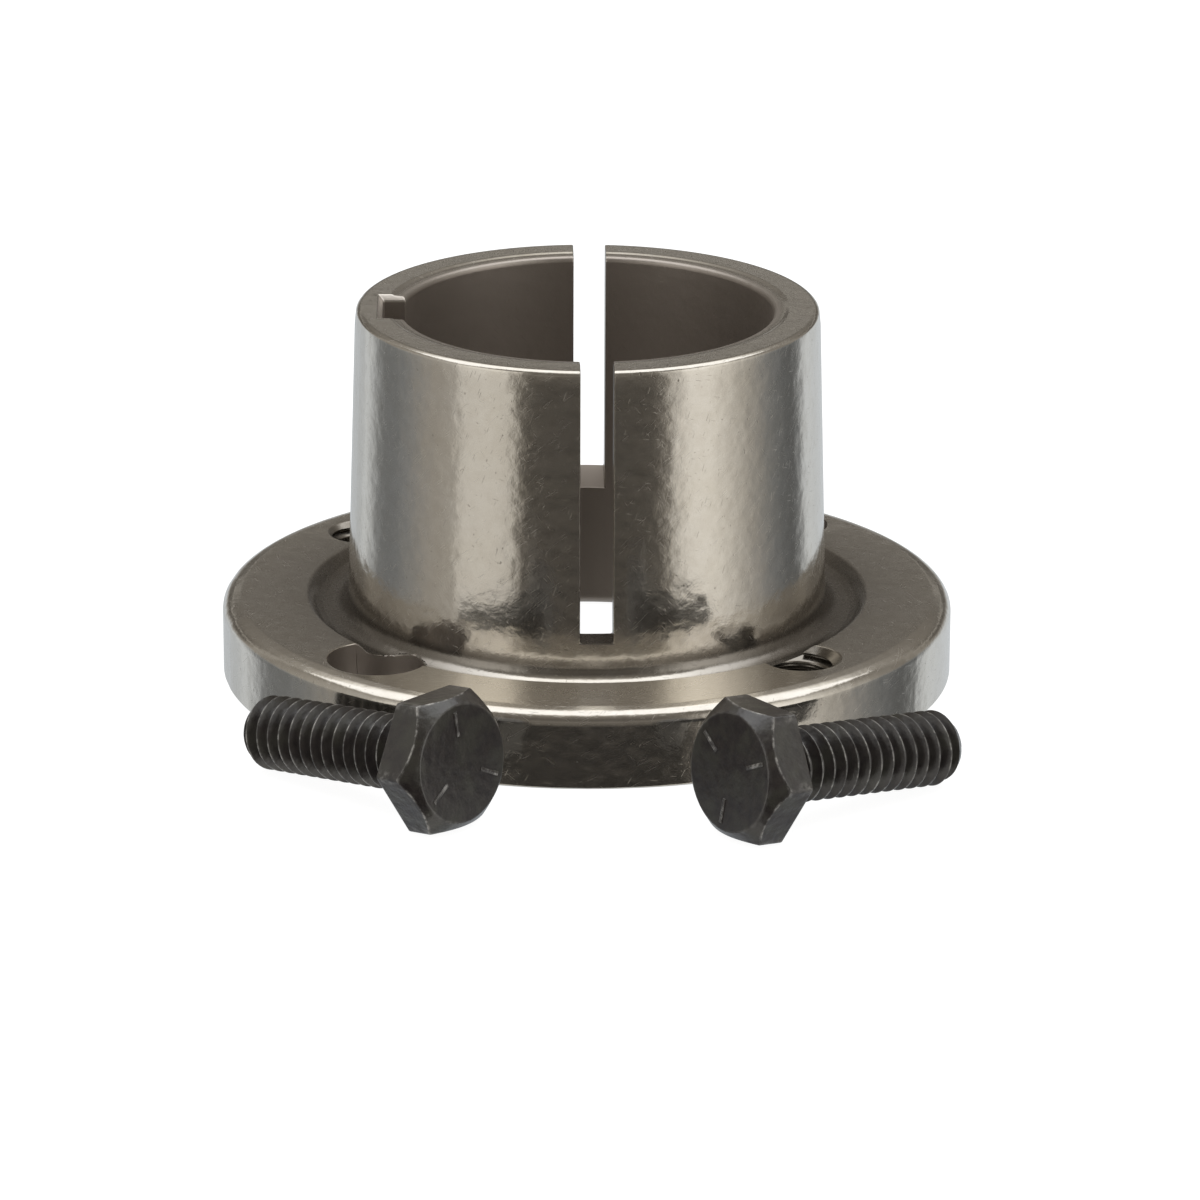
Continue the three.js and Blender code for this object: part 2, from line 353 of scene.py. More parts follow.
def keyway_cutters():
    """Cuts the keyway through the whole bore, and widens its mouth at the small end."""
    floor, inner = BORE_R + KEY_DEPTH, BORE_R - 2 * OVER
    key = [(-inner, -OVER), (-floor, -OVER), (-floor, LENGTH + OVER), (-inner, LENGTH + OVER)]
    corners = [(0, -1), (1, -1), (1, 1), (0, 1)]

    def grown(out, side, grow):
        x = -floor - grow if out else -inner
        return x, side * (KEY_W / 2 + grow), LENGTH - KEY_BREAK + grow

    return [prism("key", key, -KEY_W / 2, KEY_W / 2, lambda a, b, c: (a, c, b)),
            prism("key_mouth", corners, -0.01, KEY_BREAK + OVER, grown)]


def hole_centre(degrees):
    a = math.radians(degrees)
    return BOLT_CIRCLE_R * math.cos(a), BOLT_CIRCLE_R * math.sin(a)


def on_bolt_circle(cutter, degrees):
    cutter.data.transform(Matrix.Translation((*hole_centre(degrees), 0)))
    return cutter


def clearance_cutter(degrees):
    top = FLANGE_T + 1.5 * OVER
    profile = [(0, -OVER), (CLEAR_R, -OVER), (CLEAR_R, top), (0, top)]
    return on_bolt_circle(spun("clearance", profile, HOLE_STEPS), degrees)


def sink_cutter(degrees):
    """Countersinks at both mouths of a tapped hole, joined by its root bore."""
    mouth, bore = CREST_R + SINK_EDGE, ROOT_R + BORE_CLEARANCE
    depth = mouth - bore
    top = FLANGE_T + OVER
    profile = [(0, -OVER), (mouth, -OVER), (mouth, 0), (bore, depth),
               (bore, FLANGE_T - depth), (mouth, FLANGE_T), (mouth, top), (0, top)]
    return on_bolt_circle(spun("sink", profile, HOLE_STEPS), degrees)


def tap_cutter(degrees):
    crest_r, root_r = CREST_R + CREST_CLEARANCE, ROOT_R + ROOT_CLEARANCE
    return on_bolt_circle(threaded_cutter("tap", -2 * PITCH, 10, crest_r, root_r, 72), degrees)


def in_tapped_hole(point):
    """Whether a point is on the wall of a tapped hole, not on its mouth's edge."""
    for degrees in TAPPED_ANGLES:
        x, y = hole_centre(degrees)
        if math.hypot(point.x - x, point.y - y) < CREST_R + SINK_EDGE - 0.02 and point.z < FLANGE_T + 0.1:
            return True
    return False


def weigh_corners(piece, profile):
    """Sets each edge's bevel weight: a ring edge's by its profile corner, and a sharp cut edge's alike."""
    cut_edge, level, sharp = 0.13, math.radians(4), math.radians(25)
    with edited(piece) as bm:
        layer = bm.edges.layers.float.new("bevel_weight_edge")
        for edge in bm.edges:
            if len(edge.link_faces) != 2 or edge.calc_face_angle(0) < level:
                continue
            if any(in_tapped_hole(v.co) for v in edge.verts):
                continue
            ends = [(math.hypot(v.co.x, v.co.y), v.co.z) for v in edge.verts]
            width = cut_edge if edge.calc_face_angle(0) > sharp else 0
            for r, z, round_by in profile:
                if all(abs(end_r - r) < 0.02 and abs(end_z - z) < 0.01 for end_r, end_z in ends):
                    width = round_by
            edge[layer] = width / WIDEST_BEVEL


def rising(values, start, end):
    """0 at start and 1 at end, straight between them. It falls where start is the larger."""
    return np.clip((values - start) / (end - start), 0, 1)


def weigh_surfaces(piece):
    """Marks the surfaces for the material, from 0 to 1 at each point.

    Matt walls: the bore, keyway, saw cuts and clearance holes, whose darker tone is partly painted shade.
    Painted shade: a dark tone on the groove, the fillet, the front slot's floor and the tapped holes. Painted
    highlight: a bright tone on the front of the flange and along the front slot's right edge. The small
    numbers below let a surface's rounded edge count with it.
    """
    slot_wall, key_mouth, bore_mouth = 0.25, 0.5, 0.75  # how matt they are; their darker tone is partly painted shade
    tapped_hole, front_fillet = 0.75, 0.72  # painted shade in the tapped holes, and how much less of it on the front of the fillet
    count = len(piece.data.vertices)
    points = np.empty(count * 3)
    piece.data.vertices.foreach_get("co", points)
    x, y, z = points.reshape(count, 3).T
    r, aside, front = np.hypot(x, y), np.abs(x), y < 0

    def in_hole(degrees, reach):
        centre = hole_centre(degrees)
        return np.hypot(x - centre[0], y - centre[1]) < reach + 0.02

    def in_keyway(grown, past_floor):
        across = np.abs(y) < KEY_W / 2 + grown + 0.02
        return across & (x < 0.5 - BORE_R) & (r < BORE_R + KEY_DEPTH + past_floor)

    in_slot = (np.abs(x - SLOT_X) < SLOT_W / 2 + 0.01) & (z > SLOT_FLOORS[-1] - 0.1)
    floor = np.where(front, SLOT_FLOORS[-1], SLOT_FLOORS[1]) + SLOT_SLOPE * (np.abs(y) - BORE_R)
    slot_floor = in_slot & (np.abs(z - floor) < 0.05)

    # inner walls and the rear slot's floor: matt, with a darker tone that is partly painted shade
    inner = (r < BORE_R + 0.03) & (z < LENGTH - 0.45)
    inner |= (r < BORE_R + BORE_CHAMFER + 0.1) & (z < BORE_CHAMFER + 0.1)
    inner |= in_keyway(0, 0.7) & (z < LENGTH - KEY_BREAK - 0.03)
    inner |= slot_floor
    for degrees in CLEAR_ANGLES:
        inner |= in_hole(degrees, CLEAR_R)
    dull_shaded = np.where(inner, 1.0, np.where(in_slot, slot_wall, 0.0))
    in_key_mouth = in_keyway(KEY_BREAK, KEY_BREAK + 0.8) & (z < LENGTH - 0.05)
    dull_shaded = np.where(in_key_mouth & (dull_shaded == 0), key_mouth, dull_shaded)

    # painted shade: full on the groove's floor and none above the fillet, and less on the front of the fillet
    groove_floor, low_flange = FILLET_TOP - FILLET_R, 2
    recess_shade = rising(z, FILLET_TOP + 0.55, FILLET_TOP - 0.05) * rising(r, GROOVE_R + 0.3, GROOVE_R - 0.2)
    recess_shade *= (z > low_flange) & (r > BORE_R + 1)
    ahead = front_fillet * rising(z, groove_floor + 0.5, groove_floor + 0.8)
    recess_shade *= ahead + (1 - ahead) * rising(aside, 6, 15)
    # the front slot's floor gets full painted shade and no matt tone
    front_floor = slot_floor & front
    recess_shade, dull_shaded = np.where(front_floor, 1.0, recess_shade), np.where(front_floor, 0.0, dull_shaded)
    # the tapped holes get painted shade
    for degrees in TAPPED_ANGLES:
        recess_shade = np.where(in_hole(degrees, CREST_R + SINK_EDGE), tapped_hole, recess_shade)

    # the bore's mouth is made matt and darker, painted shade that dims its highlight
    in_bore_mouth = (r < BORE_MOUTH[0][0] - 0.3) & (z > LENGTH - 0.5)
    dull_shaded = np.where(in_bore_mouth & (dull_shaded == 0), bore_mouth, dull_shaded)

    # painted highlight: a bright tone on the front of the flange and along the front slot's right edge
    on_flange = (np.abs(z - FLANGE_T) < 0.2) & (r > GROOVE_R - 0.3) & (r < FLANGE_ROLL[-1][0] + 1) & front
    past_edge = x - SLOT_X - SLOT_W / 2
    slot_edge = (past_edge > 0.02) & (past_edge < 0.09) & front & (r > BORE_R + 2) & (z > FLANGE_T)
    painted_highlight = np.where(slot_edge, 1.0, on_flange * rising(aside, 15, 8))

    for name, value in (("dull_shaded", dull_shaded), ("recess_shade", recess_shade * (dull_shaded == 0)), ("painted_highlight", painted_highlight * (dull_shaded == 0))):
        layer = piece.data.attributes.new(name, "FLOAT", "POINT")
        layer.data.foreach_set("value", value)


def bushing():
    profile = bushing_profile()
    piece = lathe("bushing", [(r, z) for r, z, _ in profile], bushing_columns())
    cut(piece, [slot_cutter(-1), slot_cutter(1), *keyway_cutters()])
    cut(piece, [clearance_cutter(d) for d in CLEAR_ANGLES])
    for degrees in TAPPED_ANGLES:
        cut(piece, [sink_cutter(degrees), tap_cutter(degrees)])
    with edited(piece) as bm:
        bmesh.ops.remove_doubles(bm, verts=bm.verts, dist=0.01)
        bmesh.ops.dissolve_degenerate(bm, edges=bm.edges, dist=0.005)
    weigh_corners(piece, profile)
    bevel = piece.modifiers.new("edges", "BEVEL")
    bevel.limit_method = "WEIGHT"
    bevel.width = WIDEST_BEVEL
    bevel.segments = 2
    bevel.use_clamp_overlap = False
    evaluated(piece)
    weigh_surfaces(piece)
    smooth(piece, 32)
    return to_row_frame(piece, Matrix.Translation(AXIS / MM))


# ---------------------------------------------------------------- cap screws
def hex_radius(angle):
    """Distance from the axis to a hexagon with rounded corners. A flat faces angle 90 degrees."""
    turn = math.pi / 3
    off = (angle - math.pi / 2 + turn / 2) % turn - turn / 2
    near_corner = math.atan((HEX_FLAT - HEX_CORNER) * math.tan(turn / 2) / HEX_FLAT)
    if abs(off) < near_corner:
        return HEX_FLAT / math.cos(off)
    reach = (HEX_FLAT - HEX_CORNER) / math.cos(turn / 2)
    away = turn / 2 - abs(off)
    return reach * math.cos(away) + math.sqrt(HEX_CORNER ** 2 - (reach * math.sin(away)) ** 2)


def screw_angles():
    """Column angles round the screw: even steps, and closer together at the head's six corners."""
    even = np.arange(0, 360, 3.0)
    corners = [c + d for c in range(0, 360, 60) for d in (-1.5, -0.7, 0.7, 1.5)]
    return np.radians(np.unique(np.mod(np.concatenate([even, corners]), 360)))


def head_rows(angles):
    """Rows of (distance along, radius, wear) from the head's top to the neck, each with a value a column."""
    hexagon = np.array([hex_radius(a) for a in angles])
    same = np.ones_like(hexagon)
    corner = np.clip((hexagon / HEX_FLAT - 1.09) / 0.03, 0, 1)
    rows = []

    def row(along, radius, wear=0.0):
        rows.append((along * same, radius * same, wear * same))

    for r in (0.5, 2.0, 3.5, HEAD_TOP_R - 0.15):
        row(-HEAD_H, r)
    for lift, out in ((0.01, -0.05), (0.04, 0.04)):
        row(-HEAD_H + lift, HEAD_TOP_R + out, 0.1)
    for share in (0.3, 0.6, 0.85):
        r = HEAD_TOP_R + (hexagon - HEAD_TOP_R) * share
        row(-HEAD_H + (r - HEAD_TOP_R) * HEAD_SLOPE + 0.01, r)
    # the rounded edge between the chamfer and the flats, then the flats down to the washer face
    edge = -HEAD_H + (hexagon - HEAD_TOP_R) * HEAD_SLOPE
    for lift, out, wear in ((-0.03, -0.05, 0.5), (0.02, -0.012, 1.0), (0.07, 0, 0.6)):
        row(edge + lift, hexagon + out, wear)
    flat_end = -WASHER_T - 0.1
    for share in (0.06, 0.35, 0.7, 0.97):
        row(edge * (1 - share) + flat_end * share, hexagon, 0.3 * corner)
    row(flat_end, hexagon, 0.12)
    row(-WASHER_T - 0.03, hexagon - 0.02, 0.2)
    row(-WASHER_T, hexagon - 0.1, 0.1)
    row(-WASHER_T, WASHER_R + 0.12)
    row(-WASHER_T + 0.03, WASHER_R)
    row(-0.04, WASHER_R, 0.15)
    row(0, WASHER_R - 0.05, 0.15)
    row(0, NECK_R + NECK_FILLET)
    for a in np.radians([30, 60, 90]):
        row(0.35 * math.sin(a), NECK_R + NECK_FILLET - NECK_FILLET * (1 - math.cos(a)))
    row(0.6, NECK_R)
    return rows


def mark_bars(turn):
    """Corners, wear and faces of three raised radial bars on the head, the generic sign of its strength."""
    corners, wear, faces = [], [], []
    for k in range(3):
        a = math.radians(turn + 120 * k)
        first = len(corners)
        for lift, half, inner, outer, worn in MARK_LEVELS:
            for along, across in ((inner, -half), (outer, -half), (outer, half), (inner, half)):
                y = -along * math.cos(a) - across * math.sin(a)
                z = along * math.sin(a) - across * math.cos(a)
                corners.append((-HEAD_H - lift, y, z))
                wear.append(worn)
        for level in range(len(MARK_LEVELS) - 1):
            low = first + 4 * level
            faces += [(low + i, low + (i + 1) % 4, low + 4 + (i + 1) % 4, low + 4 + i) for i in range(4)]
        last = len(corners)
        faces.append(tuple(range(last - 4, last)))
        faces.append(tuple(reversed(range(first, first + 4))))
    return corners, wear, faces


def shank_grid(around):
    """Distance along, radius and wear of the threaded shank and its pointed end, by column and row."""
    turns = math.ceil((SCREW_LENGTH - THREAD_START) / PITCH) + 1
    along, form = thread_grid(around, turns, THREAD_START)
    fade = np.clip((along - THREAD_START) / (1.3 * PITCH), 0, 1)
    full = thread_radius(form, CREST_R, ROOT_R)[None, :]
    radius = NECK_R + (full - NECK_R) * (fade * fade * (3 - 2 * fade))
    tip_start = SCREW_LENGTH - TIP_CHAMFER[0]
    cone = CREST_R - (along - tip_start) / TIP_CHAMFER[0] * TIP_CHAMFER[1]
    radius = np.where(along > tip_start, np.minimum(radius, cone), radius)
    past = (along - SCREW_LENGTH) / (1.2 * PITCH)
    end_face = (CREST_R - TIP_CHAMFER[1]) * (1 - past)
    radius = np.where(past > 0, np.minimum(radius, end_face), radius)
    crest = np.clip(1 - np.abs(form - 0.5) * PITCH / 0.1, 0, 1)[None, :]
    wear = crest * fade * np.clip((SCREW_LENGTH - 0.3 - along) / 0.3, 0, 1)
    return np.minimum(along, SCREW_LENGTH), np.maximum(radius, TIP_R), wear


def screw_mesh(name, marks):
    """A hex cap screw along +X, with x = 0 under its head, as one closed mesh with its marks on top."""
    angles = screw_angles()
    columns = len(angles)
    rows = head_rows(angles)
    verts = [(-HEAD_H, 0, 0)]
    wear = [0.0]
    for x, r, worn in rows:
        for c, a in enumerate(angles):
            verts.append((x[c], r[c] * math.cos(a), r[c] * math.sin(a)))
            wear.append(float(worn[c]))

    def at(k, c):
        return 1 + k * columns + c % columns

    faces = [(0, at(0, c + 1), at(0, c)) for c in range(columns)]
    faces += [(at(k, c), at(k, c + 1), at(k + 1, c + 1), at(k + 1, c))
              for k in range(len(rows) - 1) for c in range(columns)]

    # the shank's rows climb by one pitch a turn, so its last column meets the first one a turn further on
    around = np.append(angles, angles[0] + FULL_TURN)
    along, radius, shank_wear = shank_grid(around)
    keep = min(int(np.argmax(column <= TIP_R + 0.001)) or len(column) for column in radius)
    grid = {}
    for c in range(columns):
        for k in range(keep):
            grid[c, k] = len(verts)
            a = around[c]
            verts.append((along[c, k], radius[c, k] * math.cos(a), radius[c, k] * math.sin(a)))
            wear.append(float(shank_wear[c, k]))
    shift = len(THREAD_FORM)
    for k in range(keep - shift):
        grid[columns, k] = grid[0, k + shift]
    neck = len(rows) - 1
    for c in range(columns - 1):
        faces.append((at(neck, c), at(neck, c + 1), grid[c + 1, 0], grid[c, 0]))
    seam = [grid[0, k] for k in range(shift + 1)]
    faces.append((at(neck, columns - 1), at(neck, 0), *seam, grid[columns - 1, 0]))
    for c in range(columns):
        for k in range(keep - 1):
            if (c + 1, k + 1) in grid:
                faces.append((grid[c, k], grid[c + 1, k], grid[c + 1, k + 1], grid[c, k + 1]))

    # a fan closes the tip, and its last face takes in the end of the seam
    middle, end = len(verts), keep - 1
    verts.append((SCREW_LENGTH, 0, 0))
    wear.append(0.0)
    for c in range(columns - 1):
        faces.append((grid[c, end], grid[c + 1, end], middle))
    tail = [grid[columns - 1, k] for k in range(end, end - shift - 1, -1)]
    faces.append((middle, *tail, grid[0, end]))

    bar_corners, bar_wear, bar_faces = mark_bars(marks)
    faces += [tuple(len(verts) + k for k in face) for face in bar_faces]
    verts += bar_corners
    wear += bar_wear
    piece = mesh_object(name, verts, faces)
    layer = piece.data.attributes.new("wear", "FLOAT", "POINT")
    layer.data.foreach_set("value", wear)
    return outward(piece)


def screw_place(x, y, heading):
    """Lays a screw on the rear edge of one flat of its head and on its last crest."""
    tilt = math.atan2(HEX_FLAT - CREST_R, LAST_CREST + WASHER_T)
    height = HEX_FLAT * math.cos(tilt) - WASHER_T * math.sin(tilt)
    return (Matrix.Translation(AXIS / MM + Vector((x, y, height)))
            @ Matrix.Rotation(math.radians(heading), 4, "Z") @ Matrix.Rotation(tilt, 4, "Y"))


def cap_screw(side, x, y, heading, marks):
    piece = screw_mesh(f"{side}_screw", marks)
    smooth(piece, 35)
    return to_row_frame(piece, screw_place(x, y, heading))


# ---------------------------------------------------------------- node helpers
class Nodes:
    """Short calls that add nodes to one tree."""

    def __init__(self, tree):
        self.tree = tree
        tree.nodes.clear()

    def add(self, kind, inputs=None, **settings):
        node = self.tree.nodes.new("ShaderNode" + kind)
        for key, value in settings.items():
            setattr(node, key, value)
        for key, value in (inputs or {}).items():
            socket = node.inputs[key]
            if isinstance(value, bpy.types.NodeSocket):
                self.tree.links.new(value, socket)
            else:
                socket.default_value = value
        return node

    def math(self, operation, *values):
        return self.add("Math", dict(enumerate(values)), operation=operation).outputs[0]

    def rest(self, share):
        """What a share leaves of 1."""
        return self.math("SUBTRACT", 1.0, share)

    def step(self, value, start, end):
        """A smooth rise from 0 at start to 1 at end."""
        inputs = {"Value": value, "From Min": start, "From Max": end}
        return self.add("MapRange", inputs, interpolation_type="SMOOTHSTEP").outputs[0]

    def attribute(self, name):
        return self.add("Attribute", attribute_name=name).outputs["Fac"]

    def ramp(self, value, stops):
        node = self.add("ValToRGB", {"Fac": value})
        elements = node.color_ramp.elements
        while len(elements) < len(stops):
            elements.new(1.0)
        for element, (position, colour) in zip(elements, stops):
            element.position = position
            element.color = (*colour, 1) if isinstance(colour, tuple) else (colour, colour, colour, 1)
        return node.outputs["Color"]

    def mix(self, factor, a, b, blend="MIX"):
        node = self.add("Mix", data_type="RGBA", blend_type=blend)
        for socket, value in zip((node.inputs[0], node.inputs[6], node.inputs[7]), (factor, a, b)):
            if isinstance(value, bpy.types.NodeSocket):
                self.tree.links.new(value, socket)
            elif socket.type == "RGBA":
                socket.default_value = (*value, 1) if isinstance(value, tuple) else (value, value, value, 1)
            else:
                socket.default_value = value
        return node.outputs[2]

    def noise(self, vector, scale, detail, roughness):
        """Noise between 0 and 1, with features about 1 / scale metres wide."""
        inputs = {"Vector": vector, "Scale": scale, "Detail": detail, "Roughness": roughness}
        return self.add("TexNoise", inputs).outputs["Fac"]

    def bump(self, height, distance, strength=1.0, normal=None):
        inputs = {"Height": height, "Distance": distance, "Strength": strength}
        if normal is not None:
            inputs["Normal"] = normal
        return self.add("Bump", inputs).outputs["Normal"]

    def scratches(self, flat, degrees, length, width, offset, share):
        """Thin straight marks in one direction on a surface laid flat. share says how many."""
        place, turn = (offset, offset / 3, 0), (0, 0, math.radians(degrees))
        inputs = {"Vector": flat, "Location": place, "Rotation": turn, "Scale": (length, width, 1)}
        turned = self.add("Mapping", inputs, vector_type="TEXTURE")
        spots = self.noise(turned.outputs[0], 1.0, 0.0, 0.5)
        return self.ramp(spots, [(1 - share, 0.0), (1 - share + 0.05, 1.0)])

    def scratch_sets(self, flat, sets):
        """The strongest of several sets of scratches at each point."""
        strongest = 0.0
        for scratch_set in sets:
            strongest = self.math("MAXIMUM", strongest, self.scratches(flat, *scratch_set))
        return strongest

    def metal(self, colour, metallic, rough, normal, **more):
        """Ends the tree in one shader."""
        inputs = {"Base Color": colour, "Metallic": metallic, "Roughness": rough, "Normal": normal, **more}
        shader = self.add("BsdfPrincipled", inputs)
        self.add("OutputMaterial", {"Surface": shader.outputs[0]})


def new_material(name):
    material = bpy.data.materials.new(name)
    material.use_nodes = True
    return material, Nodes(material.node_tree)


def unrolled(n):
    """The bushing's surface laid flat, in metres: round its axis, and along its profile."""
    point = n.add("SeparateXYZ", {0: n.add("TexCoord").outputs["Object"]}).outputs
    x = n.math("SUBTRACT", point[0], AXIS.x)
    y = n.math("SUBTRACT", point[1], AXIS.y)
    angle = n.math("ARCTAN2", x, n.math("MULTIPLY", y, -1.0))
    radius = n.math("SQRT", n.math("ADD", n.math("MULTIPLY", x, x), n.math("MULTIPLY", y, y)))
    around = n.math("MULTIPLY", angle, LEAD_IN_END[0] * MM)
    along = n.math("SUBTRACT", point[2], radius)
    return n.add("CombineXYZ", {0: around, 1: along, 2: 0.0}).outputs[0]


# ---------------------------------------------------------------- materials
PLAIN_STEEL = ((0.595, 0.56, 0.5), (0.61, 0.578, 0.528))
STAINED = (0.43, 0.385, 0.32)
PITTED = (0.2, 0.17, 0.14)
# painted shade: the dark tone of the groove, the fillet, the tapped holes and the front slot's floor
SHADE_TONE = (0.11, 0.095, 0.08)
# painted highlight: the bright tone on the front of the flange and the front slot's right edge
HIGHLIGHT_TONE = (0.84, 0.79, 0.7)
# a matt tone for bored, sawn and drilled walls, darker than the steel, partly as painted shade
DULL_SHADED_WALL = (0.375, 0.333, 0.298)
# a set of scratches: direction in degrees, length and width in metres, offset of its pattern, share
BRIGHT_SCRATCHES = [
    (38, 0.0016, 0.00008, 0.31, 0.23),
    (-52, 0.0012, 0.00007, 0.77, 0.21),
    (47, 0.0045, 0.00005, 4.1, 0.2),
]
DARK_SCRATCHES = [
    (71, 0.0014, 0.00007, 1.3, 0.2),
    (-14, 0.0011, 0.00007, 2.3, 0.19),
]

BLACK_OXIDE = ((0.009, 0.0065, 0.0065), (0.018, 0.014, 0.012))
FADED_OXIDE = (0.03, 0.029, 0.021)
BARE_STEEL = (0.55, 0.53, 0.5)


def bushing_steel():
    """Bright tumbled steel with stains, pits and scratches. The marked surfaces get tones of their own:
    painted shade in the groove, the fillet and the tapped holes, a painted highlight on the flange's front
    and the slot's edge, and a darker matt tone on the inner walls that is partly painted shade.
    """
    material, n = new_material("bushing_steel")
    place = n.add("TexCoord").outputs["Object"]
    flat = unrolled(n)
    cloud = n.noise(place, 130.0, 4.0, 0.6)
    mottle = n.noise(place, 900.0, 5.0, 0.62)
    grain = n.noise(place, 4200.0, 2.0, 0.6)
    peel = n.noise(place, 650.0, 1.0, 0.5)
    crinkle = n.noise(place, 1900.0, 2.0, 0.6)
    pits = n.ramp(n.noise(place, 2600.0, 1.0, 0.5), [(0.22, 1.0), (0.28, 0.0)])
    bright = n.scratch_sets(flat, BRIGHT_SCRATCHES)
    dark = n.scratch_sets(flat, DARK_SCRATCHES)
    dull_shaded, recess_shade, painted_highlight = (n.attribute(name) for name in ("dull_shaded", "recess_shade", "painted_highlight"))

    colour = n.mix(n.ramp(cloud, [(0.32, 0.0), (0.68, 1.0)]), *PLAIN_STEEL)
    stains = n.ramp(mottle, [(0.35, 1.0), (0.6, 0.0)])
    # besides stains, pits and dark scratches, these lay painted shade in the hollows, a painted highlight on
    # the flange's front and slot edge, and the inner walls' matt tone, which is partly painted shade
    for share, strength, tone in ((stains, 0.2, STAINED), (pits, 0.35, PITTED), (dark, 0.3, PITTED),
                                  (recess_shade, 0.85, SHADE_TONE), (painted_highlight, 1.0, HIGHLIGHT_TONE), (dull_shaded, 1.0, DULL_SHADED_WALL)):
        colour = n.mix(n.math("MULTIPLY", share, strength), colour, tone)

    rough = 0.1
    marked = n.math("MAXIMUM", n.math("MULTIPLY", dull_shaded, 0.35), n.math("MULTIPLY", recess_shade, 0.12))
    for share, strength in ((mottle, 0.06), (grain, 0.04), (bright, 0.2), (marked, 1.0), (painted_highlight, 0.1)):
        rough = n.math("MULTIPLY_ADD", share, strength, rough)

    # level faces are smoother than the barrel
    facing = n.add("SeparateXYZ", {0: n.add("NewGeometry").outputs["True Normal"]}).outputs[2]
    waviness = n.ramp(n.math("ABSOLUTE", facing), [(0.7, 1.0), (0.95, 0.35)])
    normal = n.bump(peel, 0.00004, waviness)
    normal = n.bump(crinkle, 0.00001, waviness, normal)
    normal = n.bump(grain, 0.000006, 0.6, normal)
    normal = n.bump(n.rest(n.math("MAXIMUM", pits, dark)), 0.00001, 0.5, normal)
    n.metal(colour, 0.97, rough, normal)
    return material


def screw_steel():
    """Black oxide, faded in patches and broken through to bare steel where the wear attribute says."""
    material, n = new_material("screw_steel")
    place = n.add("TexCoord").outputs["Object"]
    mottle = n.noise(place, 1400.0, 4.0, 0.6)
    grain = n.noise(place, 6000.0, 3.0, 0.6)
    patches = n.noise(place, 420.0, 2.0, 0.6)
    broken = n.ramp(n.noise(place, 1500.0, 3.0, 0.6), [(0.44, 0.05), (0.62, 0.9)])
    patchy = n.ramp(patches, [(0.38, 0.25), (0.58, 1.0)])
    rub = n.math("MULTIPLY", n.attribute("wear"), n.math("MULTIPLY", broken, patchy))

    colour = n.mix(n.ramp(mottle, [(0.35, 0.0), (0.65, 1.0)]), *BLACK_OXIDE)
    colour = n.mix(n.ramp(patches, [(0.45, 0.0), (0.65, 0.6)]), colour, FADED_OXIDE)
    colour = n.mix(n.math("MULTIPLY", rub, 0.85), colour, BARE_STEEL)
    rough = n.math("MULTIPLY_ADD", grain, 0.12, 0.26)
    normal = n.bump(n.noise(place, 1100.0, 2.0, 0.5), 0.00006)
    normal = n.bump(mottle, 0.00003, 0.4, normal)
    normal = n.bump(grain, 0.000012, 0.5, normal)
    n.metal(colour, n.math("MULTIPLY", rub, 0.8), rough, normal, IOR=1.75)
    return material


# ---------------------------------------------------------------- studio
# Brightness round the object, as (direction, level). Directions are degrees from the camera's side, to the
# right positive. WALLS is for what lies below the horizon and MIDDLE for what lies on it.
WALLS = [
    (-180, 0.66), (-144, 0.66), (-139, 0.92), (-131, 0.64), (-125, 0.31), (-119, 0.22), (-108, 0.23),
    (-97, 0.32), (-84, 0.43), (-69, 0.5), (-64, 0.87), (-50, 0.9), (-39, 0.85), (-34, 0.22), (-30, 0.095),
    (0, 0.085), (33, 0.095), (37, 0.22), (42, 0.75), (50, 1.15), (60, 1.15), (68, 0.95), (78, 0.66),
    (88, 0.42), (100, 0.25), (113, 0.14), (119, 0.13), (125, 0.28), (130, 0.78), (136, 0.9), (144, 0.8),
    (180, 0.68),
]
MIDDLE = [
    (-180, 1.0), (-147, 1.0), (-118, 0.32), (-98, 0.48), (-69, 0.65), (-64, 1.2), (-39, 1.25), (-34, 0.35),
    (0, 0.24), (33, 0.25), (42, 1.0), (50, 1.5), (60, 1.5), (78, 0.9), (100, 0.36), (113, 0.27),
    (135, 0.5), (145, 1.0), (180, 1.0),
]
# Brightness above the horizon, as (degrees up, level), behind the object and on the camera's side.
BACK = [
    (0, 0.55), (4, 0.28), (8, 0.12), (14, 0.11), (15.5, 0.85), (16.1, 0.55), (16.6, 0.25), (17.5, 0.11),
    (18.7, 0.105), (19.7, 0.15), (22, 0.22), (30, 0.26), (40, 0.38), (48, 0.9), (55, 1.6), (62, 1.9),
]
FRONT = [
    (0, 0.12), (8, 0.14), (15, 0.19), (22, 0.24), (30, 0.2), (42, 0.13), (52, 0.21), (62, 0.26),
    (72, 0.65), (80, 1.4),
]
UNDER_CAMERA, HIGH_SIDES, SOFTBOX = 0.02, 0.22, 1.9
# Tint by stored level: warm in the dark parts. The far sides have a cooler tint of their own.
TINT = [
    (0.05, (1.0, 0.905, 0.79)),
    (0.3, (1.0, 0.968, 0.9)),
    (0.7, (1.0, 0.98, 0.94)),
    (0.9, (0.99, 1.0, 1.015)),
]
FAR_SIDE_TINT = (0.975, 1.03, 1.08)
WORLD_STRENGTH = 1.87


def stored(level):
    """A level as the world's nodes hold it: a ramp's colours end at 1, and levels at 2."""
    return level / 2


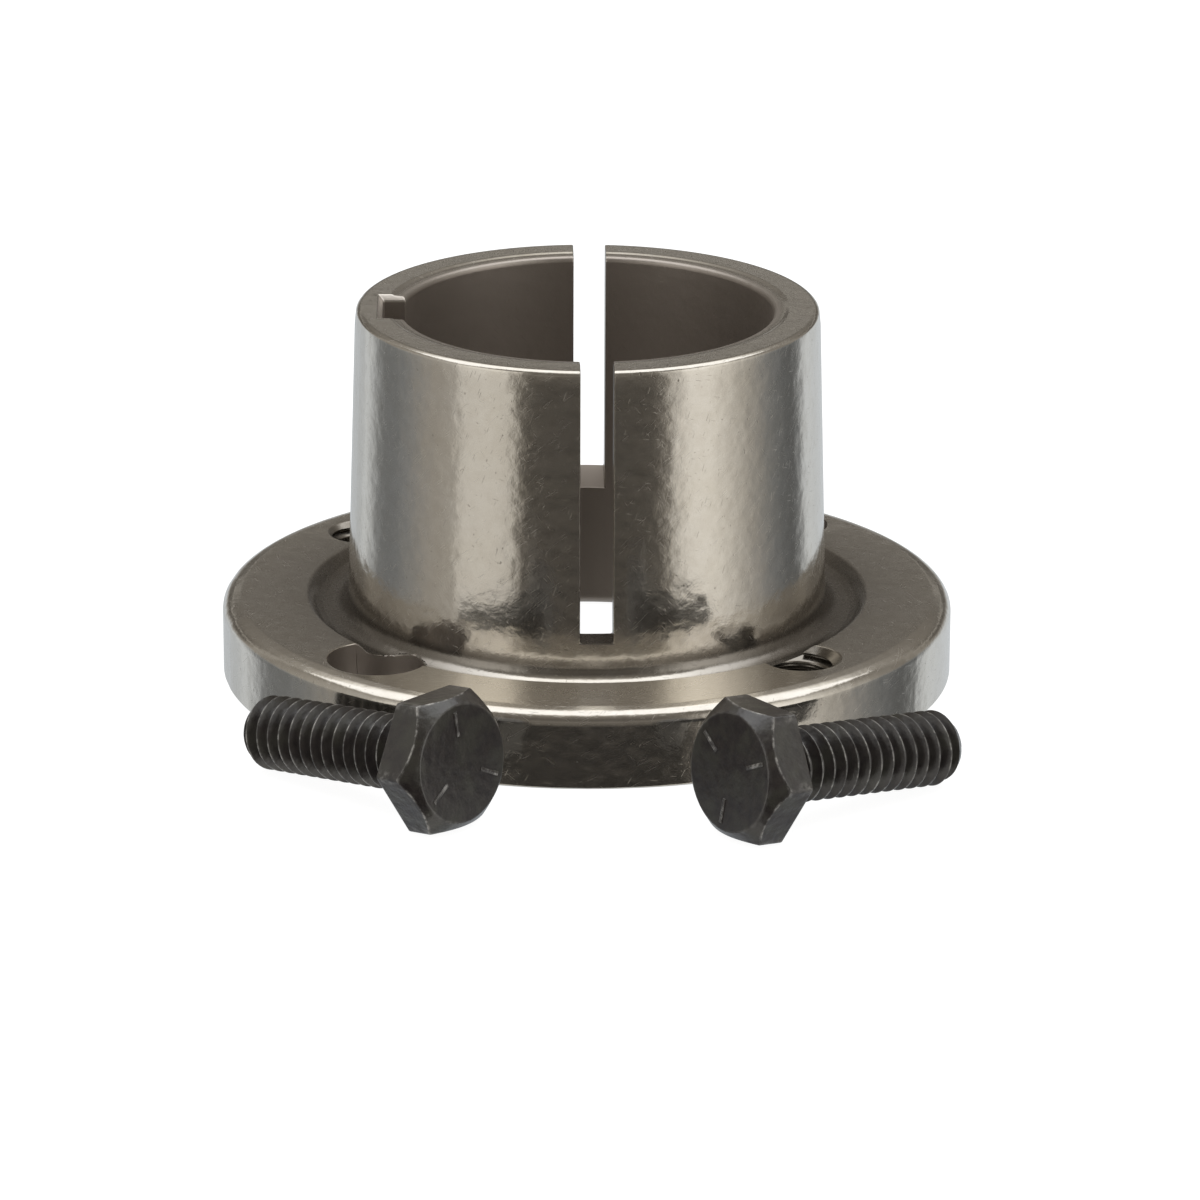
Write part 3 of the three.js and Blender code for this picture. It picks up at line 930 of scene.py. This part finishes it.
def studio_world():
    """Soft surroundings: bright side walls, a dim camera side, a bright strip behind and a softbox above."""
    world = bpy.data.worlds.new("studio")
    world.use_nodes = True
    bpy.context.scene.world = world
    n = Nodes(world.node_tree)
    way = n.add("SeparateXYZ", {0: n.add("TexCoord").outputs["Generated"]}).outputs
    side = n.math("DEGREES", n.math("ARCTAN2", way[0], n.math("MULTIPLY", way[1], -1.0)))
    rise = n.math("DEGREES", n.math("ARCSINE", way[2]))
    aside = n.math("ABSOLUTE", side)

    def ring(levels):
        turn = n.math("MULTIPLY_ADD", side, 1 / 360, 0.5)
        return n.ramp(turn, [(0.5 + degrees / 360, stored(level)) for degrees, level in levels])

    def climb(levels):
        up = n.math("DIVIDE", rise, 90.0)
        return n.ramp(up, [(degrees / 90, stored(level)) for degrees, level in levels])

    ahead = n.rest(n.step(aside, 28, 36))
    behind = n.step(aside, 122, 138)

    under = n.math("MULTIPLY", ahead, n.rest(n.step(rise, -21, -15)))
    level = n.mix(under, ring(WALLS), stored(UNDER_CAMERA))
    level = n.mix(n.step(rise, -13, 5), level, ring(MIDDLE))
    level = n.mix(n.math("MULTIPLY", behind, n.step(rise, -6, 0)), level, climb(BACK))
    level = n.mix(n.math("MULTIPLY", n.rest(behind), n.step(rise, 28, 50)), level, stored(HIGH_SIDES))
    level = n.mix(n.math("MULTIPLY", ahead, n.step(rise, 2, 8)), level, climb(FRONT))

    # the softbox is a rectangle on a level plane overhead, measured in heights of that plane
    height = n.math("MAXIMUM", way[2], 0.001)
    across = n.math("ABSOLUTE", n.math("DIVIDE", way[0], height))
    along = n.math("DIVIDE", way[1], height)
    inside = n.math("MULTIPLY", n.step(along, -0.32, -0.18), n.rest(n.step(along, 0.52, 0.68)))
    inside = n.math("MULTIPLY", inside, n.rest(n.step(across, 1.0, 1.2)))
    level = n.mix(inside, level, stored(SOFTBOX))

    far_side = n.math("MULTIPLY", n.step(aside, 78, 108), n.rest(n.step(rise, -6, 6)))
    tint = n.mix(far_side, n.ramp(level, TINT), FAR_SIDE_TINT)
    colour = n.mix(1.0, level, tint, "MULTIPLY")
    background = n.add("Background", {"Color": colour, "Strength": WORLD_STRENGTH})
    n.add("OutputWorld", {"Surface": background.outputs[0]})


def floor():
    """A plain pale floor that shines by itself, so it stays even, and that the metal doesn't mirror."""
    reach = 3.0
    corners = [(-reach, -reach, 0), (reach, -reach, 0), (reach, reach, 0), (-reach, reach, 0)]
    piece = mesh_object("floor", corners, [(0, 1, 2, 3)])
    piece.visible_glossy = False
    material, n = new_material("floor_white")
    matt = {"Base Color": (0.2, 0.2, 0.2, 1), "Roughness": 1.0, "Specular IOR Level": 0.0}
    glow = {"Emission Color": (1, 1, 1, 1), "Emission Strength": 0.95}
    shader = n.add("BsdfPrincipled", {**matt, **glow})
    n.add("OutputMaterial", {"Surface": shader.outputs[0]})
    piece.data.materials.append(material)


def soft_light(name, place, size, power):
    light = bpy.data.lights.new(name, "AREA")
    light.shape = "SQUARE"
    light.size = size
    light.energy = power
    lamp = bpy.data.objects.new(name, light)
    bpy.context.scene.collection.objects.link(lamp)
    lamp.location = place
    lamp.rotation_euler = (Vector((0, 0, 0)) - Vector(place)).to_track_quat("-Z", "Y").to_euler()
    lamp.visible_glossy = False


def camera():
    """A long lens a little above the bushing, aimed low on its barrel."""
    distance = 0.55
    rise, turn, roll = (math.radians(degrees) for degrees in (18.79, 1.2, 0.22))
    aim = Vector((0.001145, AXIS.y - 0.00003, 0.005855))
    away = Vector((-math.sin(turn) * math.cos(rise), -math.cos(turn) * math.cos(rise), math.sin(rise)))
    data = bpy.data.cameras.new("camera")
    data.lens = 188.85
    data.sensor_width = 36.0
    data.clip_start = 0.01
    view = bpy.data.objects.new("camera", data)
    bpy.context.scene.collection.objects.link(view)
    upright = (-away).to_track_quat("-Z", "Y").to_matrix().to_4x4()
    view.matrix_world = Matrix.Translation(aim + away * distance) @ upright @ Matrix.Rotation(roll, 4, "Z")
    bpy.context.scene.camera = view


# ---------------------------------------------------------------- the scene
camera()
studio_world()
floor()
soft_light("overhead", place=(0.0, 0.0, 1.2), size=1.4, power=6.0)
bpy.context.scene.view_settings.view_transform = "Standard"

steel = bushing_steel()
black = screw_steel()

body = bushing()
body.data.materials.append(steel)
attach(body, "bushing")
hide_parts("bushing_body")

for side, where in SCREWS.items():
    screw = cap_screw(side, **where)
    screw.data.materials.append(black)
    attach(screw, f"{side}_screw")
    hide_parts(f"{side}_cap_screw")
